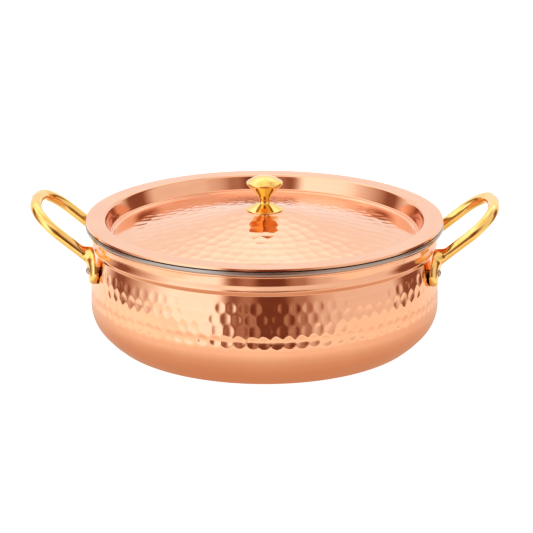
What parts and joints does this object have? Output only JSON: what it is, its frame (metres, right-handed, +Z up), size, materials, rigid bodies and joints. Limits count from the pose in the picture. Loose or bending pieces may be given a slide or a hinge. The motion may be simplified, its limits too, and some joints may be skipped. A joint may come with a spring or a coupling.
{
  "type": "handi cooking pot",
  "caption": "Low round handi cooking pot of hammered copper lined with steel, with a beaded neck, brass loop handles and a dished lift-off lid with a turned brass knob.",
  "frame": {"origin": "centre of the flat base, on the surface that the pot stands on", "axes": "+X to the right along the line through both handles, +Y away from the viewer to the back, +Z up"},
  "size_m": [0.3938, 0.3014, 0.1383],
  "materials": {
    "copper": "polished copper, hammered on the wall",
    "steel": "brushed",
    "brass": "polished casting",
    "rivet": "satin"
  },
  "bodies": {
    "pot": {"handle_left": "brass", "handle_right": "brass", "inner_liner": "steel", "outer_shell": "copper", "rivet_left_back": "rivet", "rivet_left_front": "rivet", "rivet_right_back": "rivet", "rivet_right_front": "rivet", "rivet_washer_left_back": "steel", "rivet_washer_left_front": "steel", "rivet_washer_right_back": "steel", "rivet_washer_right_front": "steel", "steel_rim": "steel"},
    "lid": {"knob": "brass", "knob_screw": "steel", "knob_washer": "steel", "lid_liner": "steel", "lid_shell": "copper"}
  },
  "joints": [
    {"name": "lid_lift", "type": "slide", "parent": "pot", "child": "lid", "axis": [0, 0, 1], "range_m": [0, 0.08]}
  ]
}
